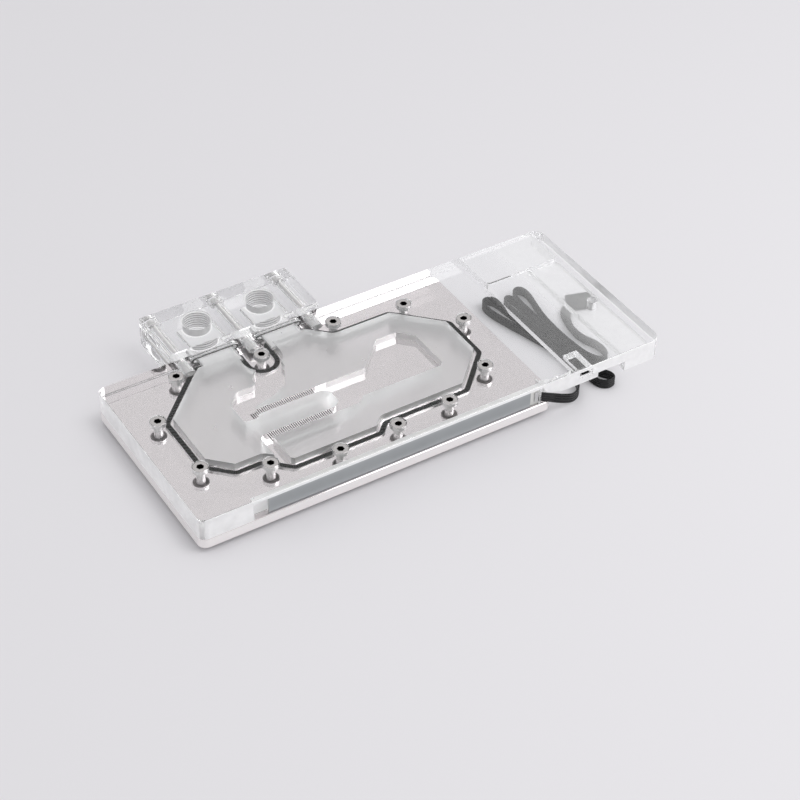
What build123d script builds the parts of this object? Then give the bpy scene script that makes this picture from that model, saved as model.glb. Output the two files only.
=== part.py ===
from build123d import *
import os
from math import radians, tan

# A full-cover graphics-card water block: a plated copper cold plate under a clear milled cover,
# with a clear terminal block for two ports at the rear and a light strip along the front edge.
# The frame's origin is the centre of the GPU contact face, +X runs along the card, +Y towards
# the terminal block and +Z away from the card. All lengths are millimetres.

# Cold plate
plate_length = 181.0
plate_depth = 101.7
plate_thickness = 5.2
plate_corner_radius = 4.0
plate_edge_break = 0.3
gpu_from_left = 70.6
gpu_from_front = 44.5

# Contact side of the plate
gpu_pad_size = 38.0
gpu_pad_height = 0.4
memory_pad_length = 11.0
memory_pad_width = 12.5
memory_pad_height = 0.3
memory_pad_reach = 27.0
memory_pad_pitch = 16.0
power_pad_width = 9.0
power_pad_height = 0.3
power_pad_place = 56.0
choke_pocket_width = 12.0
choke_pocket_depth = 1.6
choke_pocket_place = 71.0
power_rows_length = 76.0
pad_corner_radius = 1.5

# Microfins
fin_field_length = 33.0
fin_length = 24.0
fin_depth = 3.0
fin_pitch = 1.03
fin_gap = 0.55

# Cover
cover_thickness = 11.0
seating_film = 0.02
extension_length = 62.1
extension_corner_radius = 6.0
cover_edge_break = 0.4

# Perimeter seal and chamber
seal_from_left = 19.0
seal_from_right = 14.2
seal_from_front = 14.6
seal_from_rear = 5.2
seal_width = 2.4
seal_side_clearance = 0.05
seal_height = 1.6
seal_corner_radius = 3.0
seal_rear_left_cut = 27.6
seal_rear_right_cut = 21.0
seal_rear_step = 10.0
seal_front_right_cut = 19.9
seal_front_right_step = 5.1
seal_front_left_cut = 11.2
seal_front_left_step = 10.1
seal_loop_radius = 7.1
chamber_land = 1.4
chamber_depth = 7.0

# Ribs and islands that guide the coolant over the fins
inlet_slot_width = 13.2
inlet_slot_corner_radius = 5.0
inlet_slot_end = 20.8
rib_width = 3.4
island_neck_end = 42.8
island_neck_front_end = 28.3
island_head_cut = 15.0
island_head_end = 75.5
island_head_corner = 6.8
island_front_step = 3.6
island_front_corner = 1.8
rear_wall_left = 22.6
rear_wall_share = 0.612
rear_wall_nose_share = 0.347
front_wall_width = 5.3
wall_corner_radius = 2.0

# Cover screws, M4 socket cap
screw_shank_radius = 2.0
screw_head_radius = 3.5
screw_head_height = 4.0
screw_socket_flats = 3.0
screw_socket_depth = 2.2
cover_screw_length = 10.0
screw_hole_clearance = 0.15
tapped_hole_clearance = 0.05
counterbore_clearance = 0.3
head_recess = 0.3
tapped_hole_spare = 0.3

# Where the cover screws stand: insets are from the nearest edge of the plate
corner_screw_from_insert = 7.4
corner_screw_inset = 9.7
left_rear_screw_inset = 14.3
left_rear_screw_row = 33.5
left_front_screw_inset = 16.6
left_front_screw_row = 31.8
front_left_screw_column = 26.6
front_left_screw_inset = 18.4
front_centre_screw_column = 4.1
front_centre_screw_inset = 10.6
front_middle_screw_column = 34.6
front_middle_screw_inset = 11.9
front_right_screw_column = 47.3
front_right_screw_inset = 14.0
right_front_screw_inset = 19.9
right_front_screw_row = 26.4
right_rear_screw_inset = 9.5
right_rear_screw_row = 41.1
rear_right_screw_column = 28.0
rear_right_screw_inset = 17.0
rear_middle_screw_from_insert = 7.1
rear_middle_screw_inset = 11.6
rear_centre_screw_inset = 15.6

# Terminal block
terminal_centre = 6.0
terminal_length = 78.4
terminal_depth = 32.1
terminal_height = 15.3
terminal_edge_break = 0.5
terminal_screw_inset = 5.6
port_behind_middle = 0.7
terminal_screw_rise = 5.5
terminal_screw_length = 35.0
insert_radius = 2.9
insert_length = 9.0
insert_clearance = 0.05

# Ports and passages
port_thread_radius = 6.58
port_thread_length = 9.0
port_mouth_radius = 7.3
port_well_radius = 5.8
passage_inside_seal = 3.2
passage_height = 3.8
passage_rise = 4.2
passage_past_port = 2.5
port_seal_from_screw = 4.1
port_seal_height = 7.4
port_seal_cord = 1.7
port_seal_depth = 1.4
port_seal_clearance = 0.05

# Light strip channel
channel_from_left = 25.6
channel_from_right = 6.0
channel_height = 9.3
channel_depth = 3.4
strip_left_gap = 7.8
strip_right_gap = 1.1
strip_width = 9.0
strip_rise = 0.1
board_thickness = 0.4
tape_thickness = 0.25
tape_short_of_end = 4.5
chip_size = 5.0
chip_thickness = 1.5
chip_pitch = 16.6
chip_wall_gap = 0.05
resistor_length = 2.0
resistor_width = 1.25
resistor_thickness = 0.5
solder_length = 1.8
solder_width = 1.2
solder_thickness = 0.45

# Cable relief, tray and slots in the extension
arch_start = 0.8
arch_length = 14.5
arch_clear_height = 2.8
arch_depth = 6.0
tab_end = 25.6
tab_thickness = 1.8
window_left = 15.0
window_length = 7.4
window_bottom = 5.6
window_height = 3.6
window_pocket_depth = 12.0
window_roof = 1.6
tray_left = 14.4
tray_length = 26.5
tray_roof = 5.7
tray_from_rear = 22.4
tray_corner_radius = 3.0
shelf_length = 16.7
shelf_depth = 2.0
shelf_front_wall = 4.0
rear_pocket_left = 15.9
rear_pocket_depth = 7.0
rear_pocket_overlap = 0.5
bracket_hole_radius = 2.5
bracket_hole_from_end = 11.4
bracket_hole_from_front = 40.3

# Standoffs under the plate
standoff_height = 2.4
standoff_flats = 5.5
standoff_bore_radius = 1.25
gpu_hole_spacing = 61.0
board_hole_inset = 7.6
board_hole_from_front = 8.5
board_hole_middle = 19.9

# Ribbon cable: its wires lie side by side and stand on edge as they leave the strip
wire_diameter = 1.25
wire_count = 4
cap_length = 1.1
cap_front_step = 0.6
connector_length = 12.0
connector_width = 10.6
connector_height = 2.6
connector_edge = 0.4
connector_turn = -17.0
connector_place = (55.4, 55.3)
contact_pitch = 2.5
contact_size = 1.1
contact_depth = 6.0
contact_wall = 0.3

# The cable's routes and its hank, in plan from the plate's right front corner and up from the floor
lead_route = [
    (-6.5, 1.8, 11.0),
    (-2.0, -0.35, 10.2),
    (5.0, -1.1, 6.8),
    (12.4, -0.4, 3.6),
    (18.4, 4.0, 2.5),
    (21.6, 11.2, 2.5),
    (22.4, 19.0, 2.5),
]
tail_route = [(34.0, 47.0), (40.5, 49.4), (46.0, 54.2), (51.4, 56.5)]
hank_outline = [
    (9.6, 71.5),
    (13.6, 77.5),
    (32.6, 80.5),
    (38.1, 74.5),
    (35.6, 38.5),
    (44.1, 28.5),
    (44.1, 14.5),
    (40.1, 2.0),
    (35.6, -1.5),
    (30.1, 1.5),
    (26.1, 12.5),
    (18.1, 24.5),
    (13.6, 36.5),
]
hank_corner_radius = 2.5
cable_bend_share = 0.45

# Places that follow from the sizes above
plate_left = -gpu_from_left
plate_right = plate_left + plate_length
plate_front = -gpu_from_front
plate_rear = plate_front + plate_depth
plate_bottom = gpu_pad_height
plate_top = plate_bottom + plate_thickness
cover_right = plate_right + extension_length
cover_bottom = plate_top + seating_film
cover_top = plate_top + cover_thickness
floor_level = plate_bottom - standoff_height
seal_left = plate_left + seal_from_left
seal_right = plate_right - seal_from_right
seal_front = plate_front + seal_from_front
seal_rear = plate_rear - seal_from_rear
terminal_screw_pitch = terminal_length / 2 - terminal_screw_inset
terminal_screw_columns = [terminal_centre + step * terminal_screw_pitch for step in (-1, 0, 1)]
rear_centre_screw = (terminal_centre, plate_rear - rear_centre_screw_inset)
rear_middle_screw = (
    terminal_screw_columns[2] + rear_middle_screw_from_insert,
    plate_rear - rear_middle_screw_inset,
)
front_left_screw = (-front_left_screw_column, plate_front + front_left_screw_inset)
front_middle_screw = (front_middle_screw_column, plate_front + front_middle_screw_inset)
cover_screw_places = [
    (terminal_screw_columns[0] - corner_screw_from_insert, plate_rear - corner_screw_inset),
    (plate_left + left_rear_screw_inset, plate_rear - left_rear_screw_row),
    (plate_left + left_front_screw_inset, plate_front + left_front_screw_row),
    front_left_screw,
    (front_centre_screw_column, plate_front + front_centre_screw_inset),
    front_middle_screw,
    (plate_right - front_right_screw_column, plate_front + front_right_screw_inset),
    (plate_right - right_front_screw_inset, plate_front + right_front_screw_row),
    (plate_right - right_rear_screw_inset, plate_rear - right_rear_screw_row),
    (plate_right - rear_right_screw_column, plate_rear - rear_right_screw_inset),
    rear_middle_screw,
    rear_centre_screw,
]
port_row = plate_rear + terminal_depth / 2 + port_behind_middle
port_places = [(terminal_centre + side * terminal_screw_pitch / 2, port_row) for side in (-1, 1)]
port_seal_length = terminal_screw_pitch - 2 * port_seal_from_screw
passage_width = port_seal_length - 2 * passage_inside_seal
terminal_screw_level = plate_top + terminal_screw_rise
terminal_front = plate_rear + seating_film
terminal_rear = plate_rear + terminal_depth
passage_level = plate_top + passage_rise
channel_left = plate_left + channel_from_left
channel_right = plate_right - channel_from_right
channel_rear = plate_front + channel_depth
strip_left = channel_left + strip_left_gap
strip_right = channel_right - strip_right_gap
strip_bottom = plate_top + strip_rise
strip_middle = strip_bottom + strip_width / 2
chip_rear = channel_rear - chip_wall_gap
board_rear = chip_rear - chip_thickness
board_front = board_rear - board_thickness
tray_start = plate_right + tray_left
tray_end = tray_start + tray_length
tray_rear = plate_rear - tray_from_rear
shelf_end = tray_end + shelf_length
tab_right = plate_right + tab_end
cable_width = wire_diameter * wire_count


def block(left, front, bottom, right, rear, top):
    """Give a box from its two opposite corners."""
    size = (right - left, rear - front, top - bottom)
    middle = ((left + right) / 2, (front + rear) / 2, (bottom + top) / 2)
    return Pos(*middle) * Box(*size)


def rounded_outline(corners, radii):
    """Give the face inside a closed polygon, each corner rounded as far as its runs allow."""
    limits = bend_radii([corners[-1], *corners, corners[0]], 0.498)
    kept = [min(wanted, limit) for wanted, limit in zip(radii, limits)]
    return make_face(FilletPolyline(*corners, radius=kept, close=True).edges())


def pillar(place, radius, bottom, top):
    """Give an upright cylinder at a place on the plate."""
    return Pos(place[0], place[1], (bottom + top) / 2) * Cylinder(radius, top - bottom)


def rear_bore(column, level, radius, front, rear):
    """Give a cylinder along Y."""
    return Pos(column, (front + rear) / 2, level) * Rot(90, 0, 0) * Cylinder(radius, rear - front)


def rear_stadium(column, level, length, height, front, rear):
    """Give a stadium-shaped bar along Y."""
    section = Plane.XZ * SlotOverall(length, height)
    return Pos(column, rear, level) * extrude(section, rear - front)


def seal_outline():
    """Give the face inside the perimeter seal's centre line."""
    front_left_run = seal_front + seal_front_left_step
    front_right_run = seal_front + seal_front_right_step
    rear_right_run = seal_rear - seal_rear_step
    loop_left = terminal_centre - seal_loop_radius
    loop_right = terminal_centre + seal_loop_radius
    loop_front = rear_centre_screw[1] - seal_loop_radius - 0.3
    step_end = rear_middle_screw[0] - 2.2
    front_step = front_middle_screw[0] - 2.0
    notch = front_left_screw[0] + 0.1
    bend = seal_corner_radius
    loop_bend = seal_loop_radius - 0.05
    corners = [
        ((seal_left, front_left_run + seal_front_left_cut), bend),
        ((seal_left, seal_rear - seal_rear_left_cut), bend),
        ((seal_left + seal_rear_left_cut, seal_rear), bend),
        ((loop_left, seal_rear), bend),
        ((loop_left, loop_front), loop_bend),
        ((loop_right, loop_front), loop_bend),
        ((loop_right, seal_rear), bend),
        ((step_end - seal_rear_step, seal_rear), bend),
        ((step_end, rear_right_run), bend),
        ((seal_right - seal_rear_right_cut, rear_right_run), bend),
        ((seal_right, rear_right_run - seal_rear_right_cut), bend),
        ((seal_right, front_right_run + seal_front_right_cut), bend),
        ((seal_right - seal_front_right_cut, front_right_run), bend),
        ((front_step, front_right_run), bend),
        ((front_step - seal_front_right_step, seal_front), bend),
        ((notch + seal_front_left_step, seal_front), bend),
        ((notch, front_left_run), bend),
        ((seal_left + seal_front_left_cut, front_left_run), bend),
    ]
    return rounded_outline([place for place, _ in corners], [bend for _, bend in corners])


def seal_ring(width):
    """Give the flat ring of the given width along the seal's centre line."""
    return offset(seal_outline(), width / 2) - offset(seal_outline(), -width / 2)


def flow_islands():
    """Give the faces of the cover that reach down to the plate inside the chamber."""
    fin_left = -fin_field_length / 2
    slot_edge = inlet_slot_width / 2
    rib_edge = slot_edge + rib_width
    head_rear = rib_edge + island_head_cut
    head_front = -rib_edge + island_front_step
    core = make_face(
        Polyline(
            (fin_left, rib_edge),
            (island_neck_end, rib_edge),
            (island_neck_end + island_head_cut, head_rear),
            (island_head_end - island_head_corner, head_rear),
            (island_head_end, head_rear - island_head_corner),
            (island_head_end, head_front + island_front_corner),
            (island_head_end - island_front_corner, head_front),
            (island_neck_front_end + island_front_step, head_front),
            (island_neck_front_end, -rib_edge),
            (fin_left, -rib_edge),
            close=True,
        ).edges()
    )
    slot_length = 2 * (inlet_slot_end - fin_left)
    slot = Pos(inlet_slot_end - slot_length / 2, 0) * RectangleRounded(
        slot_length, inlet_slot_width, inlet_slot_corner_radius
    )
    loop_front = rear_centre_screw[1] - seal_loop_radius
    rise = loop_front - rib_edge
    step = rib_edge + rear_wall_share * rise
    nose = rib_edge + rear_wall_nose_share * rise
    rear_wall = rounded_outline(
        [
            (terminal_centre - 7.5, loop_front),
            (terminal_centre - 11.5, (step + loop_front) / 2),
            (terminal_centre - 11.5, step),
            (fin_left + 0.5, step),
            (-rear_wall_left, step - rear_wall_left - fin_left - 0.5),
            (-rear_wall_left, slot_edge - wall_corner_radius),
            (fin_left + 0.6, slot_edge - wall_corner_radius),
            (fin_left + 2.6, slot_edge + 0.4),
            (fin_left + 2.6, rib_edge + 1.5),
            (terminal_centre - 9.0, (rib_edge + nose) / 2),
            (terminal_centre - 0.5, nose),
            (terminal_centre + 6.0, (nose + 3 * loop_front) / 4),
            (terminal_centre + 6.0, loop_front),
        ],
        [0, 2.0, 2.0, 3.0, 3.0, 1.8, 1.0, 0, 1.0, 3.0, 3.0, 2.0, 0],
    )
    front_wall = make_face(
        Polyline(
            (fin_left, -slot_edge),
            (fin_left - front_wall_width + wall_corner_radius, -slot_edge),
            (fin_left - front_wall_width, -slot_edge - wall_corner_radius),
            (fin_left - front_wall_width, seal_front),
            (fin_left, seal_front),
            close=True,
        ).edges()
    )
    return (core - slot) + rear_wall + front_wall


def chamber_outline():
    """Give the chamber's face, with the islands left standing."""
    wall = offset(seal_outline(), -(seal_width / 2 + seal_side_clearance + chamber_land))
    return wall - flow_islands()


def standoff_places(pattern):
    """Give the places of the standoffs around the GPU or along the board."""
    if pattern == "gpu":
        half = gpu_hole_spacing / 2
        return [(x, y) for x in (-half, half) for y in (-half, half)]
    columns = (plate_left + board_hole_inset, board_hole_middle, plate_right - board_hole_inset)
    rows = (plate_front + board_hole_from_front, plate_rear - board_hole_from_front)
    return [(x, y) for x in columns for y in rows]


def contact_pads():
    """Give the raised pads on the plate's contact side."""
    pads = block(
        -gpu_pad_size / 2, -gpu_pad_size / 2, plate_bottom - gpu_pad_height,
        gpu_pad_size / 2, gpu_pad_size / 2, plate_bottom + plate_edge_break,
    )
    pads = fillet(pads.edges().filter_by(Axis.Z), pad_corner_radius)
    for step in (-1, 0, 1):
        for side in (-1, 1):
            pads += block(
                step * memory_pad_pitch - memory_pad_width / 2,
                side * memory_pad_reach - memory_pad_length / 2,
                plate_bottom - memory_pad_height,
                step * memory_pad_pitch + memory_pad_width / 2,
                side * memory_pad_reach + memory_pad_length / 2,
                plate_bottom + plate_edge_break,
            )
    pads += block(
        power_pad_place - power_pad_width / 2, -power_rows_length / 2,
        plate_bottom - power_pad_height,
        power_pad_place + power_pad_width / 2, power_rows_length / 2,
        plate_bottom + plate_edge_break,
    )
    return pads


def choke_pocket():
    """Give the relief that clears the card's tall chokes."""
    pocket = block(
        choke_pocket_place - choke_pocket_width / 2, -power_rows_length / 2,
        plate_bottom - plate_edge_break,
        choke_pocket_place + choke_pocket_width / 2, power_rows_length / 2,
        plate_bottom + choke_pocket_depth,
    )
    return fillet(pocket.edges().filter_by(Axis.Z), pad_corner_radius)


def fin_slots():
    """Give the slots between the microfins."""
    count = int(fin_field_length / fin_pitch)
    first = -(count - 1) * fin_pitch / 2
    slots = []
    for number in range(count):
        middle = first + number * fin_pitch
        slots.append(
            block(
                middle - fin_gap / 2, -fin_length / 2, plate_top - fin_depth,
                middle + fin_gap / 2, fin_length / 2, plate_top + plate_edge_break,
            )
        )
    return slots


def make_cold_plate():
    outline = rounded_outline(
        [
            (plate_left, plate_front),
            (plate_right, plate_front),
            (plate_right, plate_rear),
            (plate_left, plate_rear),
        ],
        [plate_corner_radius] * 4,
    )
    plate = Pos(0, 0, plate_bottom) * extrude(outline, plate_thickness)
    rim = plate.edges().group_by(Axis.Z)[0] + plate.edges().group_by(Axis.Z)[-1]
    plate = chamfer(rim, plate_edge_break)
    plate += contact_pads()
    plate -= choke_pocket()
    plate -= fin_slots()
    depth = cover_screw_reach() + tapped_hole_spare
    tap_radius = screw_shank_radius + tapped_hole_clearance
    plate -= [pillar(place, tap_radius, plate_top - depth, plate_top) for place in cover_screw_places]
    return plate


def screw_seat():
    """Give the height of the shoulder that the cover screws' heads rest on."""
    return cover_top - head_recess - screw_head_height


def cover_screw_reach():
    """Give how far a cover screw goes into the plate."""
    return plate_top - (screw_seat() - cover_screw_length)


def make_arch():
    """Give the curved relief that lets the cable out of the channel's end."""
    roof = plate_top + channel_height
    low = plate_top + arch_clear_height
    start = channel_right + arch_start
    crown = start + arch_length
    bottom = plate_top - cover_edge_break
    curve = EllipticalCenterArc(
        (crown, roof), arch_length, roof - low, start_angle=180, arc_size=90
    )
    edges = Polyline(
        (crown, low), (tab_right, low), (tab_right, bottom), (channel_right, bottom),
        (channel_right, roof), (start, roof),
    )
    profile = Plane.XZ * make_face(curve.edges() + edges.edges())
    return Pos(0, plate_front + arch_depth, 0) * extrude(profile, arch_depth + cover_edge_break)


def extension_cuts():
    """Give the tray, its front mouth, the shelf, the rear pocket, the window and the hole."""
    bottom = plate_top - cover_edge_break
    tray_top = cover_top - tray_roof
    window_start = plate_right + window_left
    window_floor = plate_top + window_bottom
    behind_tab = plate_front + tab_thickness
    tray = block(tray_start, behind_tab, bottom, tray_end, tray_rear, tray_top)
    tray = fillet(tray.edges().filter_by(Axis.Z), tray_corner_radius)
    mouth = block(
        tab_right, plate_front - cover_edge_break, bottom,
        tray_end, behind_tab + 2 * tray_corner_radius, tray_top,
    )
    shelf = block(
        tray_end - tray_corner_radius, plate_front + shelf_front_wall, bottom,
        shelf_end, tray_rear, plate_top + shelf_depth,
    )
    shelf = fillet(shelf.edges().filter_by(Axis.Z), tray_corner_radius - 0.5)
    rear_pocket = block(
        plate_right + rear_pocket_left, tray_rear - rear_pocket_overlap, bottom,
        shelf_end, plate_rear + cover_edge_break, plate_top + rear_pocket_depth,
    )
    inner_edges = rear_pocket.edges().filter_by(Axis.Z).group_by(Axis.Y)[0]
    rear_pocket = fillet(inner_edges, tray_corner_radius - 0.5)
    window_pocket = block(
        window_start, behind_tab, bottom,
        window_start + window_length, behind_tab + window_pocket_depth, cover_top - window_roof,
    )
    window = block(
        window_start, plate_front - cover_edge_break, window_floor,
        window_start + window_length, behind_tab + tray_corner_radius, window_floor + window_height,
    )
    hole_place = (cover_right - bracket_hole_from_end, plate_front + bracket_hole_from_front)
    hole = pillar(hole_place, bracket_hole_radius, bottom, cover_top)
    return [tray, mouth, shelf, rear_pocket, window_pocket, window, hole]


def make_cover():
    outline = rounded_outline(
        [
            (plate_left, plate_front),
            (cover_right, plate_front),
            (cover_right, plate_rear),
            (plate_left, plate_rear),
        ],
        [
            plate_corner_radius,
            extension_corner_radius,
            extension_corner_radius,
            plate_corner_radius,
        ],
    )
    cover = Pos(0, 0, cover_bottom) * extrude(outline, cover_top - cover_bottom)
    cover = chamfer(cover.edges().group_by(Axis.Z)[-1], cover_edge_break)
    cover -= Pos(0, 0, plate_top) * extrude(chamber_outline(), chamber_depth)
    groove = seal_ring(seal_width + 2 * seal_side_clearance)
    cover -= Pos(0, 0, plate_top) * extrude(groove, seal_height)
    for place in cover_screw_places:
        cover -= pillar(place, screw_shank_radius + screw_hole_clearance, plate_top, cover_top)
        cover -= pillar(place, screw_head_radius + counterbore_clearance, screw_seat(), cover_top)
    cover -= block(
        channel_left, plate_front - cover_edge_break, plate_top,
        channel_right, channel_rear, plate_top + channel_height,
    )
    cover -= make_arch()
    cover -= extension_cuts()
    for column in terminal_screw_columns:
        cover -= rear_bore(
            column, terminal_screw_level, insert_radius + insert_clearance,
            plate_rear - insert_length - insert_clearance, plate_rear,
        )
    chamber_wall = seal_rear - seal_width / 2 - chamber_land
    for place in port_places:
        cover -= rear_stadium(
            place[0], passage_level, passage_width, passage_height,
            chamber_wall - passage_height, plate_rear,
        )
        cover -= port_seal(place[0], port_seal_clearance)
    return cover


def port_seal(column, clearance):
    """Give a stadium seal, or its groove when a clearance is added."""
    front = plate_rear - port_seal_depth - clearance
    outer = rear_stadium(
        column, passage_level, port_seal_length + 2 * clearance,
        port_seal_height + 2 * clearance, front, terminal_front,
    )
    inner = rear_stadium(
        column, passage_level, port_seal_length - 2 * port_seal_cord - 2 * clearance,
        port_seal_height - 2 * port_seal_cord - 2 * clearance, front, terminal_front,
    )
    return outer - inner


def make_terminal_block():
    left = terminal_centre - terminal_length / 2
    right = terminal_centre + terminal_length / 2
    top = plate_top + terminal_height
    body = block(left, terminal_front, plate_top, right, terminal_rear, top)
    rear_edges = body.edges().group_by(Axis.Y)[-1]
    top_edges = body.edges().group_by(Axis.Z)[-1].sort_by(Axis.Y)[1:]
    body = chamfer(ShapeList(set(rear_edges + top_edges)), terminal_edge_break)
    passage_floor = passage_level - passage_height / 2
    mouth_chamfer = port_mouth_radius - port_thread_radius
    for place in port_places:
        body -= pillar(place, port_thread_radius, top - port_thread_length, top)
        body -= pillar(place, port_well_radius, passage_floor, top)
        mouth = Cone(port_thread_radius, port_mouth_radius, mouth_chamfer)
        body -= Pos(place[0], place[1], top - mouth_chamfer / 2) * mouth
        body -= rear_stadium(
            place[0], passage_level, passage_width, passage_height,
            plate_rear, place[1] + passage_past_port,
        )
    seat = terminal_rear - screw_head_height - head_recess
    for column in terminal_screw_columns:
        body -= rear_bore(
            column, terminal_screw_level, screw_shank_radius + screw_hole_clearance,
            plate_rear, terminal_rear,
        )
        body -= rear_bore(
            column, terminal_screw_level, screw_head_radius + counterbore_clearance,
            seat, terminal_rear,
        )
    return body


def cap_screw(length):
    """Give a socket cap screw that hangs down from its seat at the origin."""
    head = Pos(0, 0, screw_head_height / 2) * Cylinder(screw_head_radius, screw_head_height)
    socket = RegularPolygon(screw_socket_flats / 2, 6, major_radius=False)
    head -= Pos(0, 0, screw_head_height - screw_socket_depth) * extrude(socket, screw_socket_depth)
    shank = Pos(0, 0, -length / 2) * Cylinder(screw_shank_radius, length)
    return head + shank


def make_cover_screws():
    screw = cap_screw(cover_screw_length)
    return [Pos(place[0], place[1], screw_seat()) * screw for place in cover_screw_places]


def make_terminal_screws():
    screw = Rot(-90, 0, 0) * cap_screw(terminal_screw_length)
    seat = terminal_rear - screw_head_height - head_recess
    return [Pos(column, seat, terminal_screw_level) * screw for column in terminal_screw_columns]


def make_inserts():
    """Give the threaded inserts that take the terminal screws."""
    front = plate_rear - insert_length
    bore = screw_shank_radius + tapped_hole_clearance
    return [
        rear_bore(column, terminal_screw_level, insert_radius, front, plate_rear)
        - rear_bore(column, terminal_screw_level, bore, front, plate_rear)
        for column in terminal_screw_columns
    ]


def make_perimeter_seal():
    return Pos(0, 0, plate_top) * extrude(seal_ring(seal_width), seal_height)


def make_standoffs(pattern):
    """Give the hexagonal standoffs, which are soldered to the plate's underside."""
    section = RegularPolygon(standoff_flats / 2, 6, major_radius=False) - Circle(standoff_bore_radius)
    post = extrude(section, plate_bottom - floor_level)
    return [Pos(place[0], place[1], floor_level) * post for place in standoff_places(pattern)]


def make_light_board():
    return block(
        strip_left, board_front, strip_bottom, strip_right, board_rear, strip_bottom + strip_width
    )


def make_light_tape():
    return block(
        strip_left, board_front - tape_thickness, strip_bottom,
        strip_right - tape_short_of_end, board_front, strip_bottom + strip_width,
    )


def chip_columns():
    """Give the places of the light chips along the strip."""
    count = int((strip_right - strip_left) / chip_pitch)
    first = (strip_left + strip_right - (count - 1) * chip_pitch) / 2
    return [first + number * chip_pitch for number in range(count)]


def make_light_chips():
    half = chip_size / 2
    return [
        block(x - half, board_rear, strip_middle - half, x + half, chip_rear, strip_middle + half)
        for x in chip_columns()
    ]


def make_resistors():
    half = resistor_width / 2
    rear = board_rear + resistor_thickness
    return [
        block(
            x + chip_pitch / 2 - resistor_length / 2, board_rear, strip_middle - half,
            x + chip_pitch / 2 + resistor_length / 2, rear, strip_middle + half,
        )
        for x in chip_columns()[:-1]
    ]


def wire_levels():
    """Give the heights of the ribbon's wires where they leave the strip."""
    first = strip_middle - (wire_count - 1) * wire_diameter / 2
    return [first + number * wire_diameter for number in range(wire_count)]


def make_solder_joints():
    half = solder_width / 2
    return [
        block(
            strip_right - solder_length - 0.4, board_front - solder_thickness, level - half,
            strip_right - 0.4, board_front, level + half,
        )
        for level in wire_levels()
    ]


def make_end_cap():
    """Give the clear cap that closes the strip's end round its wires."""
    return block(
        strip_right, plate_front + cap_front_step, strip_bottom,
        strip_right + cap_length, chip_rear, strip_bottom + strip_width,
    )


def placed(route):
    """Give a cable route's points in the part's frame."""
    corner = (plate_right, plate_front, floor_level)
    return [tuple(at + start for at, start in zip(point, corner)) for point in route]


def bend_radii(points, share):
    """Give the radius at each inner point, where the arc takes a share of the shorter run."""
    radii = []
    for before, here, after in zip(points, points[1:], points[2:]):
        run_in = Vector(*here) - Vector(*before)
        run_out = Vector(*after) - Vector(*here)
        half_turn = radians(run_in.get_angle(run_out) / 2)
        radii.append(share * min(run_in.length, run_out.length) / tan(half_turn))
    return radii


def make_cable_hank():
    """Give the outer shape of the folded cable that lies under the extension."""
    outline = rounded_outline(placed(hank_outline), [hank_corner_radius] * len(hank_outline))
    return Pos(0, 0, floor_level) * extrude(outline, cable_width)


def make_cable_lead():
    """Give the ribbon from the strip to the hank, on edge and equally high all the way."""
    route = placed(lead_route)
    plan = [(x, y) for x, y, _ in route]
    side = [(x, z) for x, _, z in route]
    radii = bend_radii(plan, cable_bend_share)
    print("cable lead radii", [round(radius, 1) for radius in radii])
    path = FilletPolyline(*plan, radius=radii)
    band = Pos(0, 0, floor_level) * extrude(trace(path, wire_diameter), cover_thickness * 2)
    half = cable_width / 2
    top = [(x, z + half) for x, z in side]
    bottom = [(x, z - half) for x, z in reversed(side)]
    drop = make_face(Polyline(*top, *bottom, close=True).edges())
    sheet = extrude(Plane.XZ * drop, 2 * plate_depth, both=True)
    lead = (band & sheet) - make_cable_hank() - make_end_cap()
    print("cable lead volume", round(lead.volume), "mm3 on a run of", round(path.length), "mm")
    return lead


def make_cable_tail():
    """Give the ribbon from the hank to the connector, lying flat."""
    plan = [(x + plate_right, y + plate_front) for x, y in tail_route]
    radii = bend_radii(plan, cable_bend_share)
    print("cable tail radii", [round(radius, 1) for radius in radii])
    path = FilletPolyline(*plan, radius=radii)
    tail = Pos(0, 0, floor_level) * extrude(trace(path, cable_width), wire_diameter)
    return tail - make_cable_hank() - connector_body()


def connector_location():
    """Give where the connector lies, with its cable end towards -X."""
    x, y = connector_place
    level = floor_level + connector_height / 2
    return Pos(x + plate_right, y + plate_front, level) * Rot(0, 0, connector_turn)


def connector_body():
    body = Box(connector_length, connector_width, connector_height)
    body = chamfer(body.edges().filter_by(Axis.X), connector_edge)
    return connector_location() * body


def contact_rows():
    """Give the contacts' offsets across the connector."""
    first = -(wire_count - 1) * contact_pitch / 2
    return [first + number * contact_pitch for number in range(wire_count)]


def make_connector():
    """Give the housing, with a square cavity for each contact."""
    size = contact_size + 2 * contact_wall
    middle = (connector_length - contact_depth) / 2
    cavities = [
        connector_location() * Pos(middle, row, 0) * Box(contact_depth, size, size)
        for row in contact_rows()
    ]
    return connector_body() - cavities


def make_contacts():
    """Give the contacts, which stand on the floors of their cavities."""
    length = contact_depth - contact_wall
    middle = connector_length / 2 - contact_depth + length / 2
    return [
        connector_location() * Pos(middle, row, 0) * Box(length, contact_size, contact_size)
        for row in contact_rows()
    ]


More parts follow.
